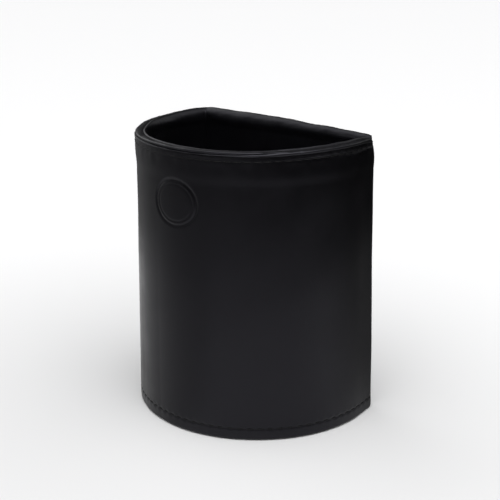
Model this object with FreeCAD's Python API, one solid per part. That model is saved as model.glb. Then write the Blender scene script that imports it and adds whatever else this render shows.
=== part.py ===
import FreeCAD, Part
import math
import os

# A half-round pen cup: leather over stiff boards, open at the top, with a flat back panel.
# Millimetres, +Z up. The origin is the middle of the footprint, on the surface it stands on.
# The back panel faces +Y and the curved front faces -Y.
#
# The plan line is the outer face of the cover, seen from above. A wall section is a list of
# (out, up) points: out is measured from the plan line, outwards, and up from the standing
# surface. Each section is carried along the plan line in stretches.

# Overall form
cup_height = 100.0
front_radius = 41.9       # plan line round the front
front_overrun = 9.3       # degrees that the front runs on past a half circle, at each side
side_length = 11.0        # straight side, from the front's end to where side and back would meet
back_bow = 0.8            # how far the middle of the back stands behind its corners
inner_corner_radius = 0.6  # face of the lining, round each back corner

# Layers of the wall
board_thickness = 1.6
cover_thickness = 0.9
lining_thickness = 0.7
glue_line = 0.1
seam_gap = 0.2            # between two edges that meet in one layer
fit_gap = 0.1             # round a panel that is let in between the walls

# Padded rim
board_drop = 3.0          # top edge of the boards, below the top of the rim
roll_outset = 0.7         # how far the padded roll stands out past the plan line
roll_radius = 1.3         # the roll's outer side; its top runs inwards in a flatter curve
lip_width = 0.75          # the thin lip between the inner face and the roll
lip_drop = 0.55           # below the top of the rim
lip_radius = 0.5
tuck_depth = 0.5          # from the widest point of the roll down to where it tucks in

# Folded hem of the cover, laid over the lining's turned-down edge
hem_height = 7.0          # from the start of the bulge to the folded edge
hem_bulge_height = 4.2    # over which the cover bulges out
hem_clearance = 0.12      # between the folded edge and the roll above it

# Foot and floor
base_board_thickness = 2.0
floor_lining_thickness = 1.0
foot_lift = 0.3           # the cover's turned-under edge, above the standing surface
foot_radius = 1.5
turn_under = 7.0          # how far the cover runs in under the foot
pad_gap = 0.3
pad_corner_radius = 3.0
cover_wrap = 5.0          # how far the front cover runs on round the corners, on to the back

# Topstitching
stitch_pitch = 3.4
stitch_length = 2.5
thread_width = 0.6
thread_rise = 0.5         # crown of a stitch above its seat
channel_width = 1.1       # the furrow that a row of stitches pulls into the leather
channel_depth = 0.25
channel_floor = 0.7
stitch_seat = 0.02        # between a stitch and the floor of its channel
rim_stitch_inset = 1.7    # below the folded edge
base_stitch_height = 4.0

# Plain blind-stamped ring on the front
ring_radius = 8.6         # outer edge
ring_width = 1.0
ring_depth = 0.3
ring_inset = 18.8         # its centre, below the top of the rim

# Flats that make up a quarter turn of a small rounded edge
edge_flat_count = 3
hidden_flat_count = 2

# Worked out from the sizes above
overrun = math.radians(front_overrun)
side_run = FreeCAD.Vector(-math.sin(overrun), math.cos(overrun), 0)
side_facing = FreeCAD.Vector(math.cos(overrun), math.sin(overrun), 0)
half_back = front_radius * math.cos(overrun) - side_length * math.sin(overrun)
plan_depth = front_radius * (1 + math.sin(overrun)) + side_length * math.cos(overrun)
back_radius = (half_back ** 2 + back_bow ** 2) / (2 * back_bow)
corner_line = (plan_depth - back_bow) / 2
front_centre = FreeCAD.Vector(0, corner_line - plan_depth + front_radius, 0)
back_centre = FreeCAD.Vector(0, corner_line + back_bow - back_radius, 0)

cover_in = -cover_thickness
board_out = cover_in - glue_line
board_in = board_out - board_thickness
lining_out = board_in - glue_line
lining_in = lining_out - lining_thickness
turn_in = board_out + glue_line
turn_out = turn_in + lining_thickness
hem_in = turn_out + glue_line
hem_out = hem_in + cover_thickness
corner_radius = inner_corner_radius - lining_in

board_top = cup_height - board_drop
lip_top = cup_height - lip_drop
roll_middle = cup_height - roll_radius
roll_crest = roll_outset - roll_radius
crown_span = roll_crest - lining_in - lip_width
crown_radius = (crown_span ** 2 + lip_drop ** 2) / (2 * lip_drop)
cord_out = roll_outset - lining_thickness - glue_line
tuck = roll_middle - tuck_depth
hem_top = tuck - hem_clearance
hem_foot = hem_top - hem_height
hem_full = hem_foot + hem_bulge_height

board_foot = foot_lift + cover_thickness + glue_line
base_board_top = board_foot + base_board_thickness
lining_foot = base_board_top + glue_line
floor_top = lining_foot + floor_lining_thickness
rim_stitch_height = hem_top - rim_stitch_inset


# Wall sections

def rounded(start, corner, end, flats):
    """Points round the quarter of an oval that eases the corner between start and end."""
    points = []
    for step in range(flats + 1):
        turn = math.pi / 2 * step / flats
        along, back = 1 - math.sin(turn), 1 - math.cos(turn)
        points.append(tuple(c + along * (s - c) + back * (e - c)
                            for s, c, e in zip(start, corner, end)))
    return points


def rim_top(depth, inner, flats):
    """Points over the top of the rim, at a depth below its surface, from an inner face out."""
    crown = crown_radius - depth
    turn = math.asin((roll_crest - inner) / crown)
    points = []
    for step in range(flats):
        angle = turn * (1 - step / flats)
        points.append((roll_crest - crown * math.sin(angle),
                       cup_height - crown_radius + crown * math.cos(angle)))
    crest, widest = (roll_crest, cup_height - depth), (roll_outset - depth, roll_middle)
    return points + rounded(crest, (widest[0], crest[1]), widest, flats)


def channel(out, up):
    """Points along the furrow that a row of stitches pulls into a face, from below."""
    bottom = out - channel_depth
    return [(out, up - channel_width / 2), (bottom, up - channel_floor / 2),
            (bottom, up + channel_floor / 2), (out, up + channel_width / 2)]


def board_section():
    return [(board_in, board_foot), (board_out, board_foot),
            (board_out, board_top), (board_in, board_top)]


def cord_section():
    """The soft cord on the boards' top edge that pads the rim."""
    foot = board_top + glue_line
    top = rim_top(lining_thickness + glue_line, board_in, hidden_flat_count)
    return top + [(board_out, roll_middle), (board_out, foot), (board_in, foot)]


def lining_section():
    """The lining: up the inside, over the padded rim and down the outside, where it is pared."""
    lip = rounded((lining_in, lip_top - lip_radius), (lining_in, lip_top),
                  (lining_in + lip_radius, lip_top), edge_flat_count)
    over_rim = rim_top(0, lining_in + lip_width, edge_flat_count)
    under_rim = rim_top(lining_thickness, lining_out, hidden_flat_count)
    ledge = roll_middle - glue_line
    pared_out = (cover_in + hem_in) / 2 - glue_line
    pared_foot = (hem_foot + hem_full) / 2
    turned_down = [(roll_outset, tuck), (turn_out, tuck), (turn_out, hem_full),
                   (pared_out, pared_foot), (turn_in, pared_foot), (turn_in, ledge),
                   (cord_out + glue_line, ledge)]
    inside = [(lining_out, lining_foot), (lining_in, lining_foot)]
    return lip + over_rim + turned_down + under_rim[::-1] + inside


def cover_section():
    """The cover: turned under at the foot, and folded back on itself over the turned lining."""
    heel = rounded((-foot_radius, foot_lift), (0, foot_lift), (0, foot_lift + foot_radius),
                   edge_flat_count)
    middle = (hem_in + hem_out) / 2
    half = (hem_out - hem_in) / 2
    fold = rounded((hem_out, hem_top - half), (hem_out, hem_top), (middle, hem_top),
                   hidden_flat_count)
    fold += rounded((middle, hem_top), (hem_in, hem_top), (hem_in, hem_top - half),
                    hidden_flat_count)[1:]
    inner_foot = foot_lift + cover_thickness
    outside = [(-turn_under, foot_lift), *heel, *channel(0, base_stitch_height),
               (0, hem_foot), (hem_out, hem_full), *channel(hem_out, rim_stitch_height)]
    inside = [(hem_in, hem_full), (cover_in, hem_foot), (cover_in, inner_foot),
              (-turn_under, inner_foot)]
    return outside + fold + inside


def face_of(points):
    """A wall section as a face that stands on the X axis."""
    corners = [FreeCAD.Vector(out, 0, up) for out, up in points]
    return Part.Face(Part.makePolygon(corners + corners[:1]))


# The plan line, anticlockwise in stretches

def stood(shape, point, facing):
    """A copy of a shape, turned about the upright to a facing angle and moved to a plan point."""
    copy = shape.copy()
    copy.rotate(FreeCAD.Vector(0, 0, 0), FreeCAD.Vector(0, 0, 1), math.degrees(facing))
    copy.translate(point)
    return copy


class Bend:
    """A stretch that curves about an upright axis, between two facing angles."""

    def __init__(self, centre, radius, start, end):
        self.centre, self.radius, self.start, self.end = centre, radius, start, end

    def length(self, out):
        return (self.radius + out) * (self.end - self.start)

    def stand(self, shape, share):
        facing = self.start + (self.end - self.start) * share
        outwards = FreeCAD.Vector(math.cos(facing), math.sin(facing), 0)
        return stood(shape, self.centre + outwards * self.radius, facing)

    def carry(self, face):
        upright = FreeCAD.Vector(0, 0, 1)
        turn = math.degrees(self.end - self.start)
        return self.stand(face, 0).revolve(self.centre, upright, turn)


class Flat:
    """A straight stretch that faces one way."""

    def __init__(self, start, end, facing):
        self.start, self.end, self.facing = start, end, facing

    def length(self, out):
        return (self.end - self.start).Length

    def stand(self, shape, share):
        return stood(shape, self.start + (self.end - self.start) * share, self.facing)

    def carry(self, face):
        return self.stand(face, 0).extrude(self.end - self.start)


def corner_point(inset):
    """Where the right side and the back meet when both are moved in by the same amount."""
    start = front_centre + side_facing * (front_radius - inset) - back_centre
    along = start.dot(side_run)
    reach = (back_radius - inset) ** 2 - start.dot(start) + along ** 2
    return back_centre + start + side_run * (math.sqrt(reach) - along)


def mirrored(point):
    return FreeCAD.Vector(-point.x, point.y, point.z)


def seen_from_back_centre(point):
    return math.atan2(point.y - back_centre.y, point.x)


corner_axis = corner_point(corner_radius)
back_facing = seen_from_back_centre(corner_axis)
mitre_facing = (overrun + back_facing) / 2
side_end = corner_axis + side_facing * corner_radius
side_start = front_centre + side_facing * front_radius

front = Bend(front_centre, front_radius, math.pi - overrun, 2 * math.pi + overrun)
right_side = Flat(side_start, side_end, overrun)
right_corner = Bend(corner_axis, corner_radius, overrun, back_facing)
back = Bend(back_centre, back_radius, back_facing, math.pi - back_facing)
left_corner = Bend(mirrored(corner_axis), corner_radius, math.pi - back_facing, math.pi - overrun)
left_side = Flat(mirrored(side_end), mirrored(side_start), math.pi - overrun)
plan_line = [front, right_side, right_corner, back, left_corner, left_side]


# Carrying a section round the plan line

def joined(solids):
    return solids[0].fuse(solids[1:]).removeSplitter()


def round_front(points):
    """A section round the front and half-way round each back corner."""
    face = face_of(points)
    short = glue_line / 2 / corner_radius
    right = Bend(corner_axis, corner_radius, overrun, mitre_facing - short)
    left = Bend(mirrored(corner_axis), corner_radius, math.pi - mitre_facing + short,
                math.pi - overrun)
    return joined([stretch.carry(face) for stretch in (left, left_side, front, right_side, right)])


def across_back(points):
    """A section across the back and half-way round each back corner."""
    face = face_of(points)
    short = glue_line / 2 / corner_radius
    right = Bend(corner_axis, corner_radius, mitre_facing + short, back_facing)
    left = Bend(mirrored(corner_axis), corner_radius, math.pi - back_facing,
                math.pi - mitre_facing - short)
    return joined([stretch.carry(face) for stretch in (right, back, left)])


def level_panel(inset, corner, low, high):
    """A half-round panel, inset evenly from the plan line, with rounded back corners."""
    axis = corner_point(inset + corner)
    back_angle = seen_from_back_centre(axis)
    bends = [Bend(front_centre, front_radius - inset, front.start, front.end),
             Bend(axis, corner, overrun, back_angle),
             Bend(back_centre, back_radius - inset, back_angle, math.pi - back_angle),
             Bend(mirrored(axis), corner, math.pi - back_angle, math.pi - overrun)]
    mark = Part.Vertex(0, 0, low)
    arcs = []
    for bend in bends:
        points = [bend.stand(mark, share).Point for share in (0, 0.5, 1)]
        arcs.append(Part.Arc(*points).toShape())
    right = Part.makeLine(bends[0].stand(mark, 1).Point, bends[1].stand(mark, 0).Point)
    left = Part.makeLine(bends[3].stand(mark, 1).Point, bends[0].stand(mark, 0).Point)
    outline = Part.Wire([arcs[0], right, arcs[1], arcs[2], arcs[3], left])
    return Part.Face(outline).extrude(FreeCAD.Vector(0, 0, high - low))


# Boards, padding and lining

def front_board():
    return round_front(board_section())


def back_board():
    return across_back(board_section())


def base_board():
    inset = fit_gap - board_in
    return level_panel(inset, corner_radius - inset, board_foot, base_board_top)


def front_rim_cord():
    return round_front(cord_section())


def back_rim_cord():
    return across_back(cord_section())


def front_lining():
    return round_front(lining_section())


def back_lining():
    return across_back(lining_section())


def floor_lining():
    inset = fit_gap - lining_in
    return level_panel(inset, corner_radius - inset, lining_foot, floor_top)


# Outer cover

def behind_mitres():
    """All that lies behind the upright planes that halve the two back corners."""
    outwards = FreeCAD.Vector(math.cos(mitre_facing), math.sin(mitre_facing), 0)
    inner = corner_axis - outwards * turn_under
    outer = corner_axis + outwards * turn_under
    far = outer + FreeCAD.Vector(0, turn_under, 0)
    points = [inner, outer, far, mirrored(far), mirrored(outer), mirrored(inner), inner]
    return Part.Face(Part.makePolygon(points)).extrude(FreeCAD.Vector(0, 0, cup_height))


def clear_of_corner_axis(face):
    """The part of a section that can turn round a back corner without crossing its axis."""
    keep = [(-corner_radius, 0), (corner_radius, 0), (corner_radius, cup_height),
            (-corner_radius, cup_height)]
    return face.common(face_of(keep))


def stamped_ring():
    """The shallow ring pressed into the front, as a tool that cuts it."""
    middle = cup_height - ring_inset
    reach = ring_radius + ring_width
    band = [(-ring_depth, middle - reach), (cover_thickness, middle - reach),
            (cover_thickness, middle + reach), (-ring_depth, middle + reach)]
    half_turn = math.asin(reach / front_radius)
    skin = Bend(front_centre, front_radius, 1.5 * math.pi - half_turn, 1.5 * math.pi + half_turn)
    centre = FreeCAD.Vector(0, front_centre.y, middle)
    forward = FreeCAD.Vector(0, -1, 0)
    disc = Part.makeCylinder(ring_radius, 2 * front_radius, centre, forward)
    hole = Part.makeCylinder(ring_radius - ring_width, 2 * front_radius, centre, forward)
    return skin.carry(face_of(band)).common(disc.cut(hole))


def front_cover():
    """Front of the cover, run on round both corners to its seams on the back."""
    face = face_of(cover_section())
    turn = cover_wrap / back_radius
    wraps = [Bend(back_centre, back_radius, back.start, back.start + turn),
             Bend(back_centre, back_radius, back.end - turn, back.end)]
    behind = behind_mitres()
    solids = [front.carry(face)]
    solids += [side.carry(face).cut(behind) for side in (right_side, left_side)]
    solids += [wrap.carry(face).common(behind) for wrap in wraps]
    solids += [corner.carry(clear_of_corner_axis(face)) for corner in (right_corner, left_corner)]
    return joined(solids).cut(stamped_ring())


def back_cover():
    turn = (cover_wrap + seam_gap) / back_radius
    panel = Bend(back_centre, back_radius, back.start + turn, back.end - turn)
    return panel.carry(face_of(cover_section()))


def base_pad():
    return level_panel(turn_under + pad_gap, pad_corner_radius, 0, board_foot - glue_line)


# Stitching

def stitch():
    """One stitch, lying along Y on a seat that faces +X."""
    half = stitch_length / 2
    points = [(0, -half), (thread_rise, thread_rise - half), (thread_rise, half - thread_rise),
              (0, half), (0, -half)]
    low = -thread_width / 2
    outline = Part.makePolygon([FreeCAD.Vector(out, along, low) for out, along in points])
    return Part.Face(outline).extrude(FreeCAD.Vector(0, 0, thread_width))


def stitching(out, up):
    """A row of stitches all round, evenly spaced on each stretch of the plan line."""
    one = stitch()
    one.translate(FreeCAD.Vector(out - channel_depth + stitch_seat, 0, up))
    row = []
    for stretch in plan_line:
        count = int(stretch.length(out) // stitch_pitch)
        row += [stretch.stand(one, (index + 0.5) / count) for index in range(count)]
    return Part.makeCompound(row)


def rim_stitching():
    return stitching(hem_out, rim_stitch_height)


def base_stitching():
    return stitching(0, base_stitch_height)


pieces = [front_board, back_board, base_board, front_rim_cord, back_rim_cord,
          front_lining, back_lining, floor_lining, front_cover, back_cover, base_pad,
          rim_stitching, base_stitching]

os.makedirs("parts", exist_ok=True)
for piece in pieces:
    shape = piece()
    shape.exportStep(f"parts/{piece.__name__}.step")
    box = shape.BoundBox
    print(f"{piece.__name__}: {len(shape.Solids)} solids, valid {shape.isValid()},"
          f" {shape.Volume:.0f} mm3, x {box.XMin:.2f} to {box.XMax:.2f},"
          f" y {box.YMin:.2f} to {box.YMax:.2f}, z {box.ZMin:.2f} to {box.ZMax:.2f}")
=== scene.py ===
import math

import bpy
import numpy as np
from mathutils import Matrix, Vector


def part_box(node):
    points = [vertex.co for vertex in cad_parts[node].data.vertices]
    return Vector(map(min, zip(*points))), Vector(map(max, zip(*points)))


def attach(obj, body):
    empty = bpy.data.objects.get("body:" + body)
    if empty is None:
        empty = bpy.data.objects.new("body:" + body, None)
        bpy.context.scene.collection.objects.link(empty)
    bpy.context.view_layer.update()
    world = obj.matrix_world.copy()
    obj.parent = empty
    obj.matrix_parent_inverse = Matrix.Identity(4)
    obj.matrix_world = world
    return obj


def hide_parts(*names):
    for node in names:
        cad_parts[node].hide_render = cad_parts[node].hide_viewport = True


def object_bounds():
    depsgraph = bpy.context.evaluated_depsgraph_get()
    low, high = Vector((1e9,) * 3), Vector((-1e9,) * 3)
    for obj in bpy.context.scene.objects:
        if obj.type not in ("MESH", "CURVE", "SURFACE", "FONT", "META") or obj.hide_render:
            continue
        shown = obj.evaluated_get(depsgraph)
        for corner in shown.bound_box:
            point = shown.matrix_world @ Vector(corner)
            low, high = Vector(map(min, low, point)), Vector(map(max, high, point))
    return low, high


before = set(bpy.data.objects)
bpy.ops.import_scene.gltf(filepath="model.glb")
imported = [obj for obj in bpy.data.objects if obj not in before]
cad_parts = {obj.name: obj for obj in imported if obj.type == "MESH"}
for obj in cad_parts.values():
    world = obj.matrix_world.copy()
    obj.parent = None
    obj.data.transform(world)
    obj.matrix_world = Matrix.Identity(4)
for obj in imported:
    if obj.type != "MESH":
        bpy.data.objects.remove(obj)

bl_info = {
    "name": "Half-round leather pen cup",
    "version": (1, 0, 0),
    "blender": (4, 5, 0),
    "location": "View3D > Sidebar > Pen Cup",
    "description": "Dresses the packed pen cup in leather, thread, felt and board",
    "category": "Object",
}

CAD_LOW, CAD_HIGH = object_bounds()
MM = 0.001
UP = Vector((0, 0, 1))
MITRE_GAP = 0.001 * MM  # what each piece leaves free at a corner mitre


# ---------------------------------------------------------------- sizes and finishes

def length(label, about, value):
    """A length in metres, as a property of a group."""
    return bpy.props.FloatProperty(name=label, description=about, default=value, min=0,
                                   unit="LENGTH", precision=5)


def tint(label, about, value):
    """A linear colour, as a property of a group."""
    return bpy.props.FloatVectorProperty(name=label, description=about, default=value, size=3,
                                         subtype="COLOR", min=0, max=1)


def share(label, about, value):
    """A number from 0 to 1, as a property of a group."""
    return bpy.props.FloatProperty(name=label, description=about, default=value, min=0, max=1,
                                   subtype="FACTOR")


class CupPlanSizes(bpy.types.PropertyGroup):
    """The cup seen from above, on the outer face of its cover"""
    front_radius: length("Front radius", "Radius of the curved front", 41.9 * MM)
    front_overrun: bpy.props.FloatProperty(
        name="Front overrun", description="How far the front runs on past a half circle",
        default=math.radians(9.3), subtype="ANGLE")
    side_length: length("Side length", "From the front's end to where side and back would meet",
                        11.0 * MM)
    back_bow: length("Back bow", "How far the middle of the back stands behind its corners",
                     0.8 * MM)
    corner_radius: length("Corner radius", "Radius of the two back corners", 4.0 * MM)
    cover_wrap: length("Cover wrap", "How far the front cover runs on to the back", 5.0 * MM)
    seam_gap: length("Seam gap", "Between the two covers at a back seam", 0.2 * MM)


class CupRimSizes(bpy.types.PropertyGroup):
    """The lining where it rolls over the padded rim"""
    inner_face: length("Inner face", "From the plan line in to the lining's inner face", 3.4 * MM)
    inner_swell: length("Inner swell", "Height over which the padded mouth stands out", 2.0 * MM)
    inner_step: length("Inner step", "How far the wall stands back below that swell", 0.3 * MM)
    lip_drop: length("Lip drop", "The thin lip's top, below the top of the rim", 0.5 * MM)
    lip_width: length("Lip width", "Across the thin lip", 0.6 * MM)
    lip_groove: length("Lip groove", "Depth of the dip between lip and roll", 0.32 * MM)
    roll_crest: length("Roll crest", "From the plan line in to the roll's crest", 1.35 * MM)
    roll_drop: length("Roll drop", "Roll's crest, below the top of the lip", 0.33 * MM)
    roll_outset: length("Roll outset", "How far the roll stands out past the plan line", 0.7 * MM)
    roll_fall: length("Roll fall", "From the top of the rim to the roll's widest point", 1.45 * MM)
    ridge: length("Ridge", "Half width of the bead at the roll's outer foot", 0.2 * MM)
    roll_foot: length("Roll foot", "From the top of the rim to the foot of the roll", 1.95 * MM)
    pinch_depth: length("Pinch depth", "How far the wall is drawn in under the rim's corners",
                        0.12 * MM)
    pinch_reach: length("Pinch reach", "How far that pinch spreads along the wall", 2.6 * MM)
    cord_radius: length("Cord radius", "Greatest radius of the padding cord", 0.62 * MM)
    cord_inset: length("Cord inset", "From the plan line in to the padding cord's middle",
                       1.75 * MM)
    cord_gap: length("Cord gap", "From a corner mitre to the cord's end", 2.2 * MM)


class CupHemSizes(bpy.types.PropertyGroup):
    """The cover's folded hem, its foot and the leather between"""
    cover_thickness: length("Cover thickness", "Thickness of the cover's leather", 0.9 * MM)
    hem_outset: length("Hem outset", "How far the hem stands out from the wall", 0.8 * MM)
    hem_clearance: length("Hem clearance", "Between the folded edge and the roll", 0.06 * MM)
    hem_height: length("Hem height", "From the start of the bulge to the folded edge", 11.0 * MM)
    bulge_height: length("Bulge height", "Over which the cover bulges out", 7.6 * MM)
    foot_lift: length("Foot lift", "Cover's underside above the table", 0.12 * MM)
    foot_radius: length("Foot radius", "Rounding of the foot", 0.8 * MM)
    turn_under: length("Turn under", "How far the cover runs in under the foot", 7.0 * MM)
    slack: length("Slack", "Height of the leather's slow waves on the wall", 0.07 * MM)
    corner_waist: length("Corner waist", "How far one corner is drawn in at mid height", 0.42 * MM)


class CupStitchSizes(bpy.types.PropertyGroup):
    """The two rows of topstitching"""
    pitch: length("Stitch pitch", "From one stitch to the next", 3.4 * MM)
    stitch_length: length("Stitch length", "Length of the thread that shows", 2.5 * MM)
    thread_width: length("Thread width", "Thickness of the thread", 0.62 * MM)
    rise: length("Stitch rise", "Crown of a stitch above the leather beside it", 0.2 * MM)
    furrow_depth: length("Furrow depth", "How deep a row sinks into the leather", 0.14 * MM)
    furrow_width: length("Furrow width", "Half width of the sunken row", 0.5 * MM)
    pucker: length("Pucker", "How far the leather swells between two stitches", 0.08 * MM)
    rim_inset: length("Rim row inset", "Upper row, below the folded edge", 1.7 * MM)
    base_height: length("Base row height", "Lower row, above the table", 4.2 * MM)
    seed: bpy.props.IntProperty(name="Stitch seed", description="Seed for the stitches' small "
                                "differences", default=4)


class CupRingSizes(bpy.types.PropertyGroup):
    """The plain ring that is blind-stamped on the front"""
    ring_radius: length("Ring radius", "Outer edge of the ring, up and down", 8.2 * MM)
    ring_stretch: bpy.props.FloatProperty(name="Ring stretch", description="How much wider than "
                                          "tall the ring is", default=1.18)
    ring_width: length("Ring width", "Width of the stamped line", 1.0 * MM)
    ring_depth: length("Ring depth", "Depth of the stamped line", 0.3 * MM)
    ring_inset: length("Ring inset", "Ring's centre below the top of the rim", 19.4 * MM)
    inner_ring: length("Inner ring", "Outer edge of the finer ring inside it", 6.6 * MM)


class CupFinishes(bpy.types.PropertyGroup):
    """Colours and gloss of the cup's materials"""
    cover_black: tint("Cover black", "Dyed leather of the cover", (0.0028, 0.0026, 0.0032))
    # the worn colour is partly real wear and partly a painted highlight along the lining's lip
    worn_and_lip_highlight: tint("Cover worn", "Where folds and edges have lost dye", (0.012, 0.0115, 0.0125))
    cover_gloss: share("Cover roughness", "Roughness of the cover", 0.31)
    lining_black: tint("Lining black", "Dyed leather of the lining", (0.0024, 0.0023, 0.0031))
    lining_gloss: share("Lining roughness", "Roughness of the lining", 0.34)
    thread_black: tint("Thread black", "Waxed thread", (0.0042, 0.0042, 0.0047))
    felt_black: tint("Felt black", "Felt under the foot", (0.011, 0.011, 0.012))
    board_grey: tint("Board grey", "Bookbinding board", (0.42, 0.40, 0.37))
    cotton_white: tint("Cotton white", "Piping cord in the rim", (0.62, 0.60, 0.56))
    hem_wear: share("Hem wear", "How worn the folded edge of the cover is", 0.02)
    foot_wear: share("Foot wear", "How worn the foot of the cover is", 0.4)
    # painted highlight: the lip's paler worn colour stands partly for wear, partly for its
    # highlight
    lip_wear_and_highlight: share("Lip wear", "How worn the lip is where it is crisp", 0.3)


class CupStageSettings(bpy.types.PropertyGroup):
    """Camera, floor and light"""
    azimuth: bpy.props.FloatProperty(name="Azimuth", description="Camera's turn round the cup",
                                     default=math.radians(40.561), subtype="ANGLE")
    elevation: bpy.props.FloatProperty(name="Elevation", description="Camera's height angle",
                                       default=math.radians(16.026), subtype="ANGLE")
    roll: bpy.props.FloatProperty(name="Roll", description="Camera's lean to one side",
                                  default=math.radians(-0.315), subtype="ANGLE")
    distance: length("Distance", "From the aim point to the camera", 442.8 * MM)
    aim_right: length("Aim right", "Aim point, to the right of the front's middle", 21.506 * MM)
    aim_up: length("Aim up", "Aim point, above the front's middle", 12.558 * MM)
    lens: bpy.props.FloatProperty(name="Focal length", description="Camera's focal length, in "
                                  "millimetres on a 36 mm sensor", default=93.773)
    floor_pale: tint("Floor", "Pale floor", (0.93, 0.93, 0.935))


GROUPS = {
    "cup_plan": CupPlanSizes, "cup_rim": CupRimSizes, "cup_hem": CupHemSizes,
    "cup_stitch": CupStitchSizes, "cup_ring": CupRingSizes, "cup_finish": CupFinishes,
    "cup_stage": CupStageSettings,
}


# Listed unevenness. Each table has pairs of a distance round the cup, in mm from the middle of
# the front, and a value there. Distances run to the right, and the back's middle is at both ends.
# Shares may leave the range of 0 to 1 a little, where a corner is pulled in or a stitch tight.

# How far the rim stands above its even height, in mm
RIM_RISE = ((-121, 0.4), (-114, 0.4), (-108, 0.5), (-97, 0.5), (-92, 0.6), (-86, 0.65),
            (-82, 0.6), (-78, 0.65), (-72, 0.5), (-67, 0.2), (-62, 0.0), (-55, 0.1),
            (-47, 0.1), (-38, 0.05), (-9, 0.05), (1, -0.1), (15, -0.25), (27, -0.28), (38, 0.0),
            (50, 0.3), (62, 0.35), (72, 0.15), (78, -0.3), (82.5, -0.85), (87, -0.5),
            (99, -0.2), (104, 0.05), (113, 0.0), (117, 0.1), (121, 0.4))
# How much of the hem's outset is there, from 0, in line with the wall, to 1
HEM_FULLNESS = ((-121, 0.5), (-82, 0.4), (-60, 0.55), (-45, 0.68), (-28, 0.6), (-18, 0.35),
                (0, 0.2), (30, 0.15), (60, 0.12), (73, 0), (82, -0.1), (92, 0.1), (104, 0.4),
                (121, 0.5))
# How much of the roll's outset is there, from 0, in line with the wall, to 1
ROLL_FULLNESS = ((-121, 0.6), (-90, 0.5), (-82, 0.2), (-74, 0.7), (-60, 0.9), (-38, 1.0),
                 (-28, 0.9), (-18, 0.65), (0, 0.6), (30, 0.5), (60, 0.45), (70, 0.3), (78, -0.3),
                 (84, -0.7), (92, -0.1), (104, 0.5), (121, 0.6))
# How far hem and roll are drawn in at the back corners, in mm
CORNER_DRAW = ((-121, 0), (-88, 0), (-85, 0.35), (-82.5, 0.8), (-80, 0.35), (-77, 0), (74, 0),
               (79, 0.3), (82.5, 0.65), (86, 0.3), (91, 0), (121, 0))
# How far the cover has eased out by the time it reaches the table, in mm
FOOT_SPREAD = ((-121, 0.5), (-62, 0.6), (-50, 1.3), (-40, 1.45), (-33, 0.85), (-24, 0.25),
               (-10, 0.1), (0, 0.5), (18, 1.15), (42, 1.25), (58, 0.8), (72, 0.6), (82, 0.5),
               (90, 0.5), (121, 0.5))
# How deep the upper row of stitches has sunk into the hem, as a share of its furrow
STITCH_DEPTH = ((-121, 0.8), (-70, 0.8), (-35, 0.5), (-10, 0.35), (30, 0.25), (42, 0.45),
                (52, 0.95), (80, 1.1), (121, 0.8))
# How far the crease in the roll and the bead below it have formed, from 0 to 1
BEAD_FULLNESS = ((-121, 0), (-64, 0), (-50, 0.8), (-40, 1), (10, 1), (26, 0.6), (40, 0), (121, 0))
# How crisp the thin lip at the mouth is, from 0 to 1
LIP_CRISPNESS = ((-121, 0.1), (-112, 0), (-82, 0), (-62, 0.1), (-42, 1), (4, 1), (18, 0.75),
                 (36, 0.75), (48, 1), (80, 1), (83, 0.35), (108, 0.3), (121, 0.1))

# The room's soft lights: each one's direction, as parts up, to the camera's right and towards the
# camera, the cosines from that direction at which it starts and is full, and its brightness.
STUDIO_LIGHTS = {
    "overhead": ((0.91, 0.0, 0.42), 0.63, 0.9, 2.05),
    "back left": ((0.5, -0.62, -0.6), 0.74, 0.97, 0.9),
    "low left": ((0.1, -0.9, -0.42), 0.45, 0.95, 0.24),
    "back right": ((0.55, 0.75, -0.35), 0.74, 0.97, 0.45),
}
ROOM_LEVEL = 0.03  # the room's brightness away from them
FLOOR_PAINTED_SHADE_WAY = (0, 0.75, -0.66)  # from the cup to where the floor's colour is painted in shade, as parts

# Slow waves in the leather: the seed of each kind, and about how long its waves are
WAVES = {"slack": (11, 26 * MM), "crumples": (5, 4.5 * MM), "folded edge": (8, 9 * MM),
         "roll": (21, 6.5 * MM), "fine roll": (22, 2.6 * MM), "wall lining": (23, 24 * MM),
         "floor": (31, 22 * MM)}


# ---------------------------------------------------------------- the plan line

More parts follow.
